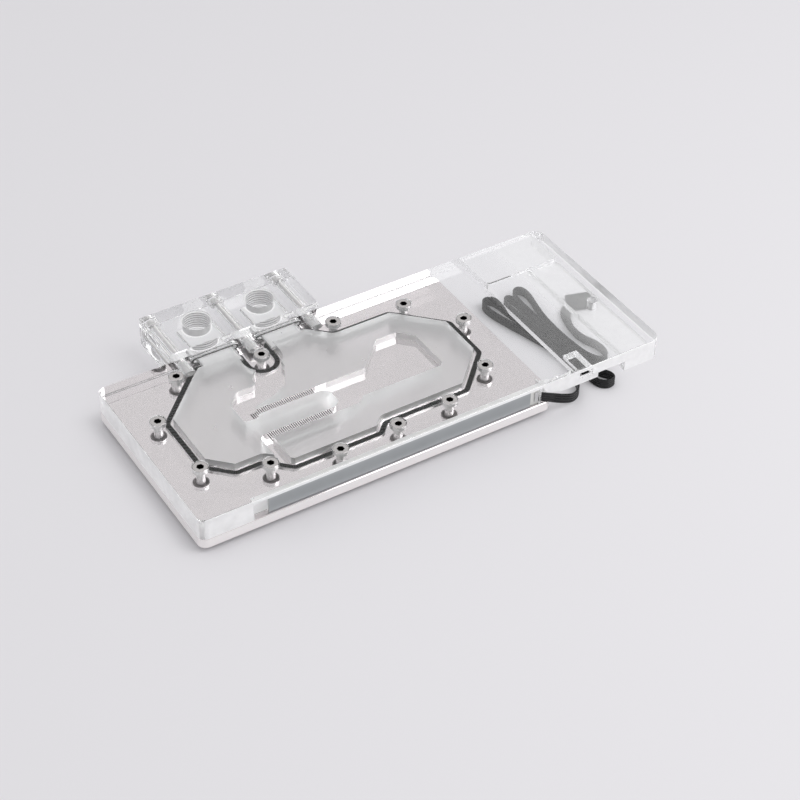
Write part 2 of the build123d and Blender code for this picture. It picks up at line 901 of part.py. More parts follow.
def build_parts():
    """Give every piece by the name of its node."""
    return {
        "cold_plate": [make_cold_plate()],
        "cover": [make_cover()],
        "terminal_block": [make_terminal_block()],
        "cover_screws": make_cover_screws(),
        "terminal_screws": make_terminal_screws(),
        "terminal_inserts": make_inserts(),
        "perimeter_seal": [make_perimeter_seal()],
        "inlet_seal": [port_seal(port_places[0][0], 0)],
        "outlet_seal": [port_seal(port_places[1][0], 0)],
        "gpu_standoffs": make_standoffs("gpu"),
        "board_standoffs": make_standoffs("board"),
        "light_board": [make_light_board()],
        "light_tape": [make_light_tape()],
        "light_chips": make_light_chips(),
        "light_resistors": make_resistors(),
        "solder_joints": make_solder_joints(),
        "strip_end_cap": [make_end_cap()],
        "cable_lead": [make_cable_lead()],
        "cable_hank": [make_cable_hank()],
        "cable_tail": [make_cable_tail()],
        "cable_connector": [make_connector()],
        "connector_contacts": make_contacts(),
    }


def main():
    os.makedirs("parts", exist_ok=True)
    for name, solids in build_parts().items():
        shape = solids[0] if len(solids) == 1 else Compound(children=solids)
        export_step(shape, f"parts/{name}.step")


main()
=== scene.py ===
"""The looks of a full-cover graphics-card water block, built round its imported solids."""

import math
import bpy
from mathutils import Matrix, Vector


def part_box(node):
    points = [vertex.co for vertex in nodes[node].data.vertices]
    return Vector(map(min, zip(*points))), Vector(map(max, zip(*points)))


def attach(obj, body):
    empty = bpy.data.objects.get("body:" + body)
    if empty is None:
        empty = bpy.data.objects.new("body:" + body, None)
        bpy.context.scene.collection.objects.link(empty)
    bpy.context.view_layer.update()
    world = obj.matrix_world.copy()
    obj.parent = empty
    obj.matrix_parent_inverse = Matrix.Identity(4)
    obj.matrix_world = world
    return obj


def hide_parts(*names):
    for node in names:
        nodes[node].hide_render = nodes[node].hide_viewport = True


bl_info = {
    "name": "Water block",
    "version": (1, 0, 0),
    "blender": (4, 5, 0),
    "location": "3D View > Sidebar > Water block",
    "description": "Dresses a graphics-card water block with its screws, light strip and cable",
    "category": "Object",
}

import bpy
import numpy as np
from bpy.props import FloatProperty, FloatVectorProperty, IntProperty, PointerProperty
from mathutils import Euler, Matrix, Vector

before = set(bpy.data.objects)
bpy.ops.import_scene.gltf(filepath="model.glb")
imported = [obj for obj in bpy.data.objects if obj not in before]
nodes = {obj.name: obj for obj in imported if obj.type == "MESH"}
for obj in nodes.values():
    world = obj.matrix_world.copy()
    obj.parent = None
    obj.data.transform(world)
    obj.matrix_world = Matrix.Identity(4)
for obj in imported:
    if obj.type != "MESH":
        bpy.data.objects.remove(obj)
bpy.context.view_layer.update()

MM = 0.001
BODY = "root"
plate_low, plate_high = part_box("cold_plate")
cover_low, cover_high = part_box("cover")
floor_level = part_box("board_standoffs")[0].z
plate_top = plate_high.z
plate_corner = Vector((plate_high.x, plate_low.y, floor_level))

# Places on the model that the materials follow, in millimetres. The fields and the slot are given
# by half their length and width about the frame's origin, the extension's by their distance from
# the plate's end, and the row of ports by how far it lies behind the terminal block's middle.
CHAMBER_DEPTH = 7.0
FIN_FIELD = (16.6, 12.2)
FIN_FOOT = 1.5
RIB_FIELD = (22.0, 10.3)
INLET_SLOT = (21.0, 6.7)
EXTENSION_CUTS = 5.0
EXTENSION_RAMP = (27.0, 36.0)
PORT_ROW = 0.7
PORT_RADIUS = 7.5
PORT_DEPTH = 9.2


# Settings


class FinishSettings(bpy.types.PropertyGroup):
    """Colours and roughness of the materials."""

    nickel: FloatVectorProperty(
        name="Nickel", description="Reflectance of the plated copper", subtype="COLOR",
        default=(0.785, 0.74, 0.75), min=0, max=1,
    )
    nickel_roughness: FloatProperty(
        name="Nickel roughness", description="Roughness of the plated faces", subtype="FACTOR",
        default=0.05, min=0, max=1,
    )
    # Painted shade: this colour darkens the slots between the microfins, standing in for the shade
    # that falls deep in them.
    slot: FloatVectorProperty(
        name="Slot", description="Reflectance deep in the slots between the microfins",
        subtype="COLOR", default=(0.07, 0.035, 0.032), min=0, max=1,
    )
    edge_nickel: FloatVectorProperty(
        name="Edge nickel", description="Reflectance of the plate's milled edges and underside",
        subtype="COLOR", default=(0.93, 0.90, 0.895), min=0, max=1,
    )
    edge_roughness: FloatProperty(
        name="Edge roughness", description="Roughness of the plate's milled edges and underside",
        subtype="FACTOR", default=0.34, min=0, max=1,
    )
    steel: FloatVectorProperty(
        name="Steel", description="Reflectance of the cap screws", subtype="COLOR",
        default=(0.57, 0.55, 0.545), min=0, max=1,
    )
    brass: FloatVectorProperty(
        name="Brass", description="Reflectance of the turned inserts", subtype="COLOR",
        default=(0.80, 0.66, 0.42), min=0, max=1,
    )
    acrylic: FloatVectorProperty(
        name="Acrylic", description="Tint of the clear acrylic", subtype="COLOR",
        default=(0.985, 0.99, 0.992), min=0, max=1,
    )
    frost: FloatVectorProperty(
        name="Frost", description="Colour of the light that milled acrylic scatters",
        subtype="COLOR", default=(0.94, 0.94, 0.945), min=0, max=1,
    )
    milled_roughness: FloatProperty(
        name="Milled roughness", description="Roughness of the acrylic where it was milled",
        subtype="FACTOR", default=0.3, min=0, max=1,
    )
    milled_white: FloatProperty(
        name="Milled white", description="Share of light that milled acrylic scatters white",
        subtype="FACTOR", default=0.42, min=0, max=1,
    )
    side_white: FloatProperty(
        name="Side white", description="Share of light that the cover's outer sides scatter white",
        subtype="FACTOR", default=0.85, min=0, max=1,
    )
    roof_white: FloatProperty(
        name="Roof white", description="Share of light that the chamber's roof scatters white",
        subtype="FACTOR", default=0.22, min=0, max=1,
    )
    slot_white: FloatProperty(
        name="Slot white", description="Share of light that the roof over the fins scatters white",
        subtype="FACTOR", default=0.45, min=0, max=1,
    )
    extension_white: FloatProperty(
        name="Extension white",
        description="Share of light that the extension's cuts scatter white", subtype="FACTOR",
        default=0.19, min=0, max=1,
    )
    port_pitch: FloatProperty(
        name="Port thread pitch", description="Distance between two ridges in the ports",
        unit="LENGTH", default=1.337 * MM, min=0.1 * MM,
    )
    rubber: FloatVectorProperty(
        name="Rubber", description="Colour of the seals", subtype="COLOR",
        default=(0.012, 0.012, 0.013), min=0, max=1,
    )
    tape: FloatVectorProperty(
        name="Tape", description="Colour of the strip's backing tape", subtype="COLOR",
        default=(0.29, 0.305, 0.315), min=0, max=1,
    )
    board: FloatVectorProperty(
        name="Board", description="Colour of the strip's circuit board", subtype="COLOR",
        default=(0.7, 0.7, 0.68), min=0, max=1,
    )
    chip: FloatVectorProperty(
        name="Chip", description="Colour of the light chips", subtype="COLOR",
        default=(0.8, 0.77, 0.55), min=0, max=1,
    )
    resistor: FloatVectorProperty(
        name="Resistor", description="Colour of the resistors' film", subtype="COLOR",
        default=(0.02, 0.02, 0.02), min=0, max=1,
    )
    solder: FloatVectorProperty(
        name="Solder", description="Reflectance of the solder joints", subtype="COLOR",
        default=(0.7, 0.7, 0.7), min=0, max=1,
    )
    cable: FloatVectorProperty(
        name="Cable", description="Colour of the wires' insulation", subtype="COLOR",
        default=(0.006, 0.006, 0.007), min=0, max=1,
    )


class ScrewSettings(bpy.types.PropertyGroup):
    """Sizes of the cap screws."""

    pitch: FloatProperty(
        name="Thread pitch", description="Distance between two ridges of the thread",
        unit="LENGTH", default=0.7 * MM, min=0.1 * MM,
    )
    thread_depth: FloatProperty(
        name="Thread depth", description="How far the thread's grooves go in", unit="LENGTH",
        default=0.32 * MM, min=0,
    )
    ribs: IntProperty(
        name="Knurl ribs", description="Ribs round one head", default=36, min=6,
    )
    rib_depth: FloatProperty(
        name="Rib depth", description="How far the grooves between ribs go in", unit="LENGTH",
        default=0.12 * MM, min=0,
    )
    socket: FloatProperty(
        name="Socket", description="Width of the socket across its flats", unit="LENGTH",
        default=3 * MM, min=0.5 * MM,
    )
    socket_depth: FloatProperty(
        name="Socket depth", description="How deep the socket goes", unit="LENGTH",
        default=2.5 * MM, min=0,
    )
    edge: FloatProperty(
        name="Edge", description="Radius of the head's rounded edge", unit="LENGTH",
        default=0.35 * MM, min=0,
    )
    lift: FloatProperty(
        name="Lift", description="Film between the head and its seat", unit="LENGTH",
        default=0.03 * MM, min=0,
    )


class SealSettings(bpy.types.PropertyGroup):
    """Sizes of the cords that seal the ports."""

    cord: FloatProperty(
        name="Cord", description="Width of a seal's cord", unit="LENGTH", default=1.6 * MM,
        min=0.1 * MM,
    )
    press: FloatProperty(
        name="Press", description="How far a seal is pressed into the cover", unit="LENGTH",
        default=0.3 * MM, min=0,
    )


class CableSettings(bpy.types.PropertyGroup):
    """Sizes of the ribbon cable."""

    wire: FloatProperty(
        name="Wire", description="Diameter of one insulated wire", unit="LENGTH",
        default=1.25 * MM, min=0.1 * MM,
    )
    wires: IntProperty(
        name="Wires", description="Wires side by side", default=4, min=1,
    )
    twist: FloatProperty(
        name="Twist", description="Length over which the ribbon turns flat at its end",
        unit="LENGTH", default=22 * MM, min=1 * MM,
    )


class StageSettings(bpy.types.PropertyGroup):
    """The floor, the light and the camera."""

    floor: FloatVectorProperty(
        name="Floor", description="Colour of the floor", subtype="COLOR",
        default=(0.76, 0.75, 0.775), min=0, max=1,
    )
    horizon: FloatVectorProperty(
        name="Horizon", description="Tint of the light from low down", subtype="COLOR",
        default=(0.86, 0.85, 0.87), min=0, max=1,
    )
    sky: FloatProperty(
        name="Sky", description="Strength of the light from all round", default=0.84, min=0,
    )
    lamp: FloatProperty(
        name="Lamp", description="Power of the soft box at the front right", unit="POWER",
        default=4.6, min=0,
    )
    lamp_size: FloatProperty(
        name="Lamp size", description="Width of the soft box", unit="LENGTH", default=0.85,
        min=0.01,
    )
    lamp_heading: FloatProperty(
        name="Lamp heading", description="Turn of the soft box from -Y towards +X",
        subtype="ANGLE", default=math.radians(51),
    )
    lamp_height: FloatProperty(
        name="Lamp height", description="Angle of the soft box above the horizon",
        subtype="ANGLE", default=math.radians(42),
    )
    lamp_distance: FloatProperty(
        name="Lamp distance", description="How far the soft box stands off", unit="LENGTH",
        default=1.25, min=0.1,
    )
    lens: FloatProperty(
        name="Lens", description="Focal length in millimetres on a 36 mm sensor", default=91.67,
        min=1,
    )
    heading: FloatProperty(
        name="Heading", description="Turn of the view from +Y towards +X", subtype="ANGLE",
        default=math.radians(32.29),
    )
    tilt: FloatProperty(
        name="Tilt", description="Angle of the view below the horizon", subtype="ANGLE",
        default=math.radians(40.4),
    )
    roll: FloatProperty(
        name="Roll", description="Turn of the camera about its view", subtype="ANGLE",
        default=math.radians(0.87),
    )
    place: FloatVectorProperty(
        name="Camera", description="Where the camera stands", subtype="TRANSLATION",
        default=(-0.32955, -0.60988, 0.61077),
    )


# Shader maths


class Shade:
    """A socket in a material's tree, so that maths on it reads as an expression."""

    def __init__(self, finish, socket):
        self.finish = finish
        self.socket = socket

    def join(self, operation, first, second):
        values = {0: first, 1: second}
        return self.finish.node("ShaderNodeMath", {"operation": operation}, values)

    def __add__(self, other):
        return self.join("ADD", self, other)

    __radd__ = __add__

    def __sub__(self, other):
        return self.join("SUBTRACT", self, other)

    def __rsub__(self, other):
        return self.join("SUBTRACT", other, self)

    def __mul__(self, other):
        return self.join("MULTIPLY", self, other)

    __rmul__ = __mul__

    def __truediv__(self, other):
        return self.join("DIVIDE", self, other)

    def __pow__(self, other):
        return self.join("POWER", self, other)

    def __abs__(self):
        return self.join("ABSOLUTE", self, 0)

    def __gt__(self, other):
        return self.join("GREATER_THAN", self, other)

    def __lt__(self, other):
        return self.join("LESS_THAN", self, other)

    def sine(self):
        return self.join("SINE", self, 0)

    def highest(self, other):
        return self.join("MAXIMUM", self, other)

    def lowest(self, other):
        return self.join("MINIMUM", self, other)


class Finish:
    """A material under construction, with its node tree."""

    def __init__(self, name):
        self.material = bpy.data.materials.new(name)
        self.material.use_nodes = True
        self.tree = self.material.node_tree
        self.tree.nodes.clear()
        self.place = self.node("ShaderNodeTexCoord", output="Object")

    def node(self, kind, settings=None, values=None, output=0):
        """Add a node, set it up, feed its sockets with values or links, and give an output."""
        made = self.tree.nodes.new(kind)
        for name, value in (settings or {}).items():
            setattr(made, name, value)
        for socket, value in (values or {}).items():
            if isinstance(value, Shade):
                self.tree.links.new(value.socket, made.inputs[socket])
            else:
                made.inputs[socket].default_value = value
        return Shade(self, made.outputs[output])

    def axes(self):
        """Give the object coordinates in millimetres, as three sockets."""
        split = self.node("ShaderNodeSeparateXYZ", values={0: self.place})
        return [Shade(self, socket) / MM for socket in split.socket.node.outputs]

    def stretched(self, scale):
        """Give the object coordinates, scaled apart along each axis."""
        values = {0: self.place, 1: scale}
        return self.node("ShaderNodeVectorMath", {"operation": "MULTIPLY"}, values)

    def noise(self, scale, detail=2.0, vector=None):
        values = {"Vector": vector or self.place, "Scale": scale, "Detail": detail}
        return self.node("ShaderNodeTexNoise", values=values)

    def mix_colour(self, share, first, second):
        """Blend two colours, each a plain colour or a socket."""
        ends = {6: first, 7: second}
        values = {i: end if isinstance(end, Shade) else (*end, 1) for i, end in ends.items()}
        return self.node("ShaderNodeMix", {"data_type": "RGBA"}, {0: share, **values}, output=2)

    def mix_shader(self, share, first, second):
        return self.node("ShaderNodeMixShader", values={0: share, 1: first, 2: second})

    def bump(self, height, strength, distance):
        values = {"Height": height, "Strength": strength, "Distance": distance}
        return self.node("ShaderNodeBump", values=values, output="Normal")

    def principled(self, colour, **values):
        """Give a Principled shader; a socket's name has underscores for spaces."""
        if not isinstance(colour, Shade):
            colour = (*colour, 1)
        sockets = {"Base Color": colour}
        sockets.update({name.replace("_", " "): value for name, value in values.items()})
        return self.node("ShaderNodeBsdfPrincipled", values=sockets)

    def output(self, surface):
        end = self.tree.nodes.new("ShaderNodeOutputMaterial")
        self.tree.links.new(surface.socket, end.inputs["Surface"])
        return self.material


# Finishes


def within(x, y, field):
    """Give 1 inside a field about the frame's origin."""
    return (abs(x) < field[0]) * (abs(y) < field[1])


def nickel_finish(settings, tips=0.12, bevel=0.35, rim=0.75, rim_depth=0.3):
    """Bright nickel, finely grained lengthwise, with painted shade in the fin slots and a painted
    dark reflection line at the rear edge.
    """
    shaded = [0.96 * c for c in settings.nickel]
    dark = [0.4 * c for c in settings.nickel]
    finish = Finish("nickel")
    x, y, z = finish.axes()
    top = plate_top / MM
    field = within(x, y, FIN_FIELD) * (z > FIN_FOOT)
    slots = field * (z < top - tips)
    milled = (z < top - bevel) * (1 - field)
    # Painted reflection: a dark band along the plate's rear top edge, standing in for the
    # reflection seen there.
    rear = (y > plate_high.y / MM - rim) * (z > top - rim_depth)
    cloud = finish.noise(28, 3)
    grain = finish.noise(900, vector=finish.stretched((1, 14, 14)))
    colour = finish.mix_colour(cloud, settings.nickel, shaded)
    colour = finish.mix_colour(milled, colour, settings.edge_nickel)
    colour = finish.mix_colour(rear, colour, dark)
    # Painted shade: the faces in the slots below the fins' tips are darkened nearly to black.
    colour = finish.mix_colour(slots, colour, settings.slot)
    rough = settings.nickel_roughness * (0.75 + 0.5 * cloud) + 0.03 * grain
    rough = rough + milled.highest(field) * (settings.edge_roughness - settings.nickel_roughness)
    normal = finish.bump(grain, 0.08, 0.02 * MM)
    return finish.output(
        finish.principled(colour, Metallic=1.0 - 0.7 * milled, Roughness=rough, Normal=normal)
    )


def metal_finish(name, colour, roughness, painted_socket_shade=None, dark=(0.012, 0.01, 0.01)):
    """A turned metal with a fine even grain, and nearly black with painted shade where a named
    attribute marks a recess.
    """
    finish = Finish(name)
    grain = finish.noise(2500)
    rough = roughness * (0.8 + 0.4 * grain)
    if painted_socket_shade:
        # Painted shade: the colour goes dark where the mesh's attribute marks a recess.
        depth = finish.node("ShaderNodeAttribute", {"attribute_name": painted_socket_shade}, output="Fac")
        colour = finish.mix_colour(depth, colour, dark)
    normal = finish.bump(grain, 0.1, 0.01 * MM)
    return finish.output(
        finish.principled(colour, Metallic=1.0, Roughness=rough, Normal=normal)
    )


def inner_cuts(place, low, high, margin, foot=0.1):
    """Give 1 on what was milled inside a block: its surface but for its six outer faces."""
    x, y, z = place
    across = (x > low.x + margin) * (x < high.x - margin)
    along = (y > low.y + margin) * (y < high.y - margin)
    return across * along * (z > low.z + foot) * (z < high.z - margin)


def cover_haze(finish, settings, margin=0.45, edge=0.08):
    """Give the cover's roughness and its white share: none on top or where it lies on the plate."""
    x, y, z = finish.axes()
    low = cover_low / MM
    high = cover_high / MM
    chamber_roof = plate_top / MM + CHAMBER_DEPTH
    inner = inner_cuts((x, y, z), low, high, margin)
    roof = (abs(z - chamber_roof) < 0.1) * inner
    sides = (y < low.y + margin).highest(x < low.x + margin).highest(x > high.x - margin)
    sides = sides * (z < high.z - edge)
    ribs = within(x, y, RIB_FIELD) * (z < chamber_roof - 0.1) * inner
    over_slot = within(x, y, INLET_SLOT) * roof
    beyond = x - plate_high.x / MM
    start, end = EXTENSION_RAMP
    far = ((beyond - start) / (end - start)).highest(0).lowest(1)
    extension = (beyond > EXTENSION_CUTS) * inner
    # The ribs and the extension's cuts are almost as clear as the outside.
    polish = extension * (0.96 - 0.2 * far) + ribs * 0.97
    rough = (inner + sides * 0.6 - polish) * settings.milled_roughness
    chamber = settings.roof_white + over_slot * (settings.slot_white - settings.roof_white)
    white = inner * (1 - roof) * (1 - extension) * (1 - ribs) * settings.milled_white
    white = white + roof * (1 - extension) * chamber
    white = white + extension * (0.5 + far) * settings.extension_white
    return rough, white + sides * settings.side_white


def port_bores(finish, edge=0.05):
    """Give 1 inside the two threaded port bores, each in line with its seal."""
    x, y, z = finish.axes()
    low, high = (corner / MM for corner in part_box("terminal_block"))
    row = (low.y + high.y) / 2 + PORT_ROW
    asides = []
    for seal in ("inlet_seal", "outlet_seal"):
        start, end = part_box(seal)
        asides.append(abs(x - (start.x + end.x) / 2 / MM))
    aside = asides[0].lowest(asides[1])
    reach = (aside ** 2 + (y - row) ** 2) ** 0.5
    return (reach < PORT_RADIUS) * (z > high.z - PORT_DEPTH) * (z < high.z - edge)


def port_thread(finish, settings):
    """Give the height of the ridges in the ports' bores."""
    z = finish.axes()[2]
    turns = 2 * math.pi / (settings.port_pitch / MM)
    return (z * turns).sine() * port_bores(finish)


def terminal_haze(finish, settings, margin=0.55):
    """Give the terminal block's roughness and its white share: most in the ports' threads."""
    low, high = (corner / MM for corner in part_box("terminal_block"))
    inner = inner_cuts(finish.axes(), low, high, margin)
    bores = port_bores(finish)
    rough = inner.highest(bores * 1.3) * settings.milled_roughness
    return rough, (inner * 0.65).highest(bores * 2.3) * settings.milled_white


def cap_haze(finish, settings):
    """Give the end cap's roughness and its white share, in soft patches all over."""
    haze = finish.noise(300)
    return haze * settings.milled_roughness, haze * settings.milled_white


def clear_finish(name, settings, haze, thread=None):
    """Clear acrylic: polished outside, hazy and partly white from the cutter inside."""
    finish = Finish(name)
    patches = 0.8 + 0.4 * finish.noise(160, 3)
    rough, white = haze(finish, settings)
    relief = {}
    if thread:
        relief["Normal"] = finish.bump(thread(finish, settings), 0.9, 0.4 * MM)
    clear = finish.principled(
        settings.acrylic, Roughness=rough * patches, IOR=1.49, Transmission_Weight=1.0, **relief
    )
    frost = finish.principled(settings.frost, Roughness=0.7, **relief)
    surface = finish.mix_shader(white * patches, clear, frost)
    through = finish.node("ShaderNodeBsdfTransparent")
    for ray in ("Is Diffuse Ray", "Is Shadow Ray"):
        passing = finish.node("ShaderNodeLightPath", output=ray)
        surface = finish.mix_shader(passing, surface, through)
    return finish.output(surface)


def plastic_finish(name, colour, roughness, speckle=0.15, scale=3000, **values):
    """A moulded or coated plastic with a fine surface grain."""
    finish = Finish(name)
    grain = finish.noise(scale, 3)
    rough = roughness * (1 - speckle + 2 * speckle * grain)
    tone = finish.mix_colour(grain, [0.9 * c for c in colour], colour)
    normal = finish.bump(grain, 0.15, 0.02 * MM)
    return finish.output(finish.principled(tone, Roughness=rough, Normal=normal, **values))


def tape_finish(settings):
    """Grey backing tape with a painted highlight: paler towards its edges, where the film over it
    would catch the light.
    """
    finish = Finish("strip tape")
    low, high = (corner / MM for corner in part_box("light_tape"))
    z = finish.axes()[2]
    # Painted highlight: the colour turns paler towards the tape's top and bottom edges.
    edge = abs((z - (low.z + high.z) / 2) / ((high.z - low.z) / 2)) ** 3
    pale = [min(1.0, 1.7 * c) for c in settings.tape]
    blotch = finish.noise(90, 3)
    colour = finish.mix_colour(edge * 0.8 + blotch * 0.25, settings.tape, pale)
    return finish.output(finish.principled(colour, Roughness=0.25 + 0.2 * blotch))


# Pieces


def dress(node, material):
    """Put one material on a CAD node."""
    mesh = nodes[node].data
    mesh.materials.clear()
    mesh.materials.append(material)


def place_piece(name, mesh, material):
    """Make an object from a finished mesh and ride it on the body."""
    mesh.materials.clear()
    mesh.materials.append(material)
    piece = bpy.data.objects.new(name, mesh)
    bpy.context.scene.collection.objects.link(piece)
    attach(piece, BODY)
    return piece


class WATERBLOCK_OT_plate(bpy.types.Operator):
    """Dress the cold plate and the standoffs under it"""

    bl_idname = "waterblock.plate"
    bl_label = "Cold plate"

    def execute(self, context):
        settings = context.scene.waterblock_finish
        dress("cold_plate", nickel_finish(settings))
        posts = metal_finish("standoff nickel", settings.nickel, 0.22)
        dress("gpu_standoffs", posts)
        dress("board_standoffs", posts)
        return {"FINISHED"}


class WATERBLOCK_OT_cover(bpy.types.Operator):
    """Dress the clear cover and the terminal block"""

    bl_idname = "waterblock.cover"
    bl_label = "Cover and terminal block"

    def execute(self, context):
        settings = context.scene.waterblock_finish
        dress("cover", clear_finish("cover acrylic", settings, cover_haze))
        terminal = clear_finish("terminal acrylic", settings, terminal_haze, port_thread)
        dress("terminal_block", terminal)
        return {"FINISHED"}


def solid_boxes(node):
    """Give the box of each separate solid in a node, as pairs of corners."""
    mesh = nodes[node].data
    count = len(mesh.vertices)
    places = np.empty(count * 3)
    mesh.vertices.foreach_get("co", places)
    places = places.reshape(-1, 3)
    owner = list(range(count))

    def find(index):
        while owner[index] != index:
            owner[index] = owner[owner[index]]
            index = owner[index]
        return index

    _, same = np.unique(places.round(7), axis=0, return_inverse=True)
    first_at = {}
    for index, key in enumerate(same.ravel()):
        owner[find(index)] = find(first_at.setdefault(key, index))
    for edge in mesh.edges:
        owner[find(edge.vertices[0])] = find(edge.vertices[1])
    groups = {}
    for index in range(count):
        groups.setdefault(find(index), []).append(index)
    boxes = [(places[group].min(0), places[group].max(0)) for group in groups.values()]
    return sorted(boxes, key=lambda box: tuple(box[0]))


def lathe(rings, steps):
    """Give a closed mesh from rings of (height, radius at each step), from one tip to the other."""
    angles = 2 * np.pi * np.arange(steps) / steps
    circle = np.stack([np.cos(angles), np.sin(angles)], axis=1)
    verts = [(0, 0, rings[0][0])]
    for height, radii in rings:
        outline = circle * np.broadcast_to(radii, steps)[:, None]
        verts += [(x, y, height) for x, y in outline]
    verts.append((0, 0, rings[-1][0]))
    turn = [(step, (step + 1) % steps) for step in range(steps)]
    faces = [(0, 1 + here, 1 + after) for here, after in turn]
    for ring in range(len(rings) - 1):
        low = 1 + ring * steps
        high = low + steps
        faces += [(low + here, high + here, high + after, low + after) for here, after in turn]
    last = len(verts) - 1
    faces += [(last, last - steps + after, last - steps + here) for here, after in turn]
    return verts, faces


def screw_mesh(name, sizes, head_radius, head_height, shank_radius, length):
    """Give a knurled socket cap screw whose head stands on the origin, with a threaded shank."""
    steps = 2 * sizes.ribs
    threaded = length - 2 * sizes.pitch
    angles = 2 * np.pi * np.arange(steps) / steps
    hexagon = sizes.socket / 2 / np.cos(np.mod(angles, np.pi / 3) - np.pi / 6)
    knurl = np.where(np.arange(steps) % 2, head_radius - sizes.rib_depth, head_radius)
    floor = head_height - sizes.socket_depth
    bevel = 0.12 * MM
    # The rings run from the socket's floor over the rim, down the head and along the shank.
    rings = [(floor, hexagon * 0.55), (floor + 2 * bevel, hexagon), (head_height - bevel, hexagon)]
    rings.append((head_height, hexagon + bevel))
    for angle in np.radians([0, 22, 45, 68, 90]):
        inset = sizes.edge * (1 - math.sin(angle))
        drop = sizes.edge * (1 - math.cos(angle))
        rings.append((head_height - drop, head_radius - inset))
    rings.append((head_height - sizes.edge - bevel, knurl))
    rings += [(3 * bevel, knurl), (2 * bevel, head_radius - bevel), (bevel, head_radius - bevel)]
    rings += [(0, head_radius - 2 * bevel), (0, shank_radius)]
    for ridge in range(int(threaded / sizes.pitch)):
        crest = -sizes.pitch * (ridge + 1)
        rings.append((crest, shank_radius))
        rings.append((crest - sizes.pitch / 2, shank_radius - sizes.thread_depth))
    rings.append((-length + sizes.pitch / 2, shank_radius - sizes.thread_depth / 2))
    rings.append((-length, shank_radius - sizes.thread_depth * 1.6))
    verts, faces = lathe(rings, steps)
    mesh = bpy.data.meshes.new(name)
    mesh.from_pydata([tuple(map(float, vert)) for vert in verts], [], faces)
    mesh.shade_smooth()
    mesh.set_sharp_from_angle(angle=math.radians(38))
    # Painted shade: the socket's floor and lower walls are marked to be nearly black, a little less
    # near its mouth.
    painted_socket_shade = mesh.attributes.new("painted_socket_shade", "FLOAT", "POINT")
    socket_shade_shares = np.zeros(len(verts), dtype=np.float32)
    socket_shade_shares[: 1 + 2 * steps] = 1.0
    socket_shade_shares[1 + 2 * steps : 1 + 3 * steps] = 0.8
    painted_socket_shade.data.foreach_set("value", socket_shade_shares)
    return mesh


def points_group():
    """Give the node group that sets one object on each point, turned, with its own spin."""
    group = bpy.data.node_groups.new("place_on_points", "GeometryNodeTree")
    sockets = (
        ("Points", "NodeSocketGeometry"),
        ("Piece", "NodeSocketObject"),
        ("Turn", "NodeSocketVector"),
        ("Spin", "NodeSocketFloat"),
        ("Material", "NodeSocketMaterial"),
    )
    for name, kind in sockets:
        group.interface.new_socket(name, in_out="INPUT", socket_type=kind)
    group.interface.new_socket("Geometry", in_out="OUTPUT", socket_type="NodeSocketGeometry")
    add = group.nodes.new
    link = group.links.new
    given = add("NodeGroupInput")
    info = add("GeometryNodeObjectInfo")
    chance = add("FunctionNodeRandomValue")
    own_spin = add("ShaderNodeCombineXYZ")
    spread = add("GeometryNodeInstanceOnPoints")
    spin = add("GeometryNodeRotateInstances")
    realize = add("GeometryNodeRealizeInstances")
    dress_all = add("GeometryNodeSetMaterial")
    out = add("NodeGroupOutput")
    chance.data_type = "FLOAT"
    link(given.outputs["Piece"], info.inputs["Object"])
    link(given.outputs["Points"], spread.inputs["Points"])
    link(info.outputs["Geometry"], spread.inputs["Instance"])
    link(given.outputs["Turn"], spread.inputs["Rotation"])
    link(given.outputs["Spin"], chance.inputs["Max"])
    link(chance.outputs["Value"], own_spin.inputs["Z"])
    link(spread.outputs["Instances"], spin.inputs["Instances"])
    link(own_spin.outputs["Vector"], spin.inputs["Rotation"])
    link(spin.outputs["Instances"], realize.inputs["Geometry"])
    link(realize.outputs["Geometry"], dress_all.inputs["Geometry"])
    link(given.outputs["Material"], dress_all.inputs["Material"])
    link(dress_all.outputs["Geometry"], out.inputs["Geometry"])
    return group


def spread_mesh(name, places, piece_mesh, turn, spin, material):
    """Give one mesh with a copy of the piece at each place, through Geometry Nodes."""
    group = bpy.data.node_groups.get("place_on_points") or points_group()
    piece = bpy.data.objects.new(name + "_piece", piece_mesh)
    points = bpy.data.meshes.new(name + "_points")
    points.from_pydata([tuple(map(float, place)) for place in places], [], [])
    holder = bpy.data.objects.new(name + "_holder", points)
    for item in (piece, holder):
        bpy.context.scene.collection.objects.link(item)
    modifier = holder.modifiers.new("spread", "NODES")
    modifier.node_group = group
    values = {"Piece": piece, "Turn": turn, "Spin": spin, "Material": material}
    for socket in group.interface.items_tree:
        if socket.in_out == "INPUT" and socket.name in values:
            modifier[socket.identifier] = values[socket.name]
    bpy.context.view_layer.update()
    graph = bpy.context.evaluated_depsgraph_get()
    mesh = bpy.data.meshes.new_from_object(holder.evaluated_get(graph), depsgraph=graph)
    mesh.name = name
    holder.modifiers.remove(modifier)
    for item in (piece, holder):
        bpy.data.objects.remove(item)
    return mesh


def make_screws(name, node, turn, material):
    """Replace a node's plain screws with knurled and threaded ones at the same places."""
    sizes = bpy.context.scene.waterblock_screws
    axis = turn @ Vector((0, 0, 1))
    boxes = [(Vector(low), Vector(high)) for low, high in solid_boxes(node)]
    low, high = boxes[0]
    across = [i for i in range(3) if abs(axis[i]) < 0.5]
    head_radius = (high - low)[across[0]] / 2
    # An M4 head is 7 mm across and as high as its shank is wide.
    shank_radius = head_radius * 4 / 7
    head_height = shank_radius * 2
    length = abs((high - low).dot(axis)) - head_height
    screw = screw_mesh(name, sizes, head_radius, head_height, shank_radius, length)
    places = []
    for low, high in boxes:
        middle = (low + high) / 2
        top = max(low.dot(axis), high.dot(axis))
        places.append(middle + axis * (top - middle.dot(axis) - head_height + sizes.lift))
    angles = turn.to_euler()
    mesh = spread_mesh(name, places, screw, tuple(angles), math.radians(60), material)
    piece = place_piece(name, mesh, material)
    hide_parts(node)


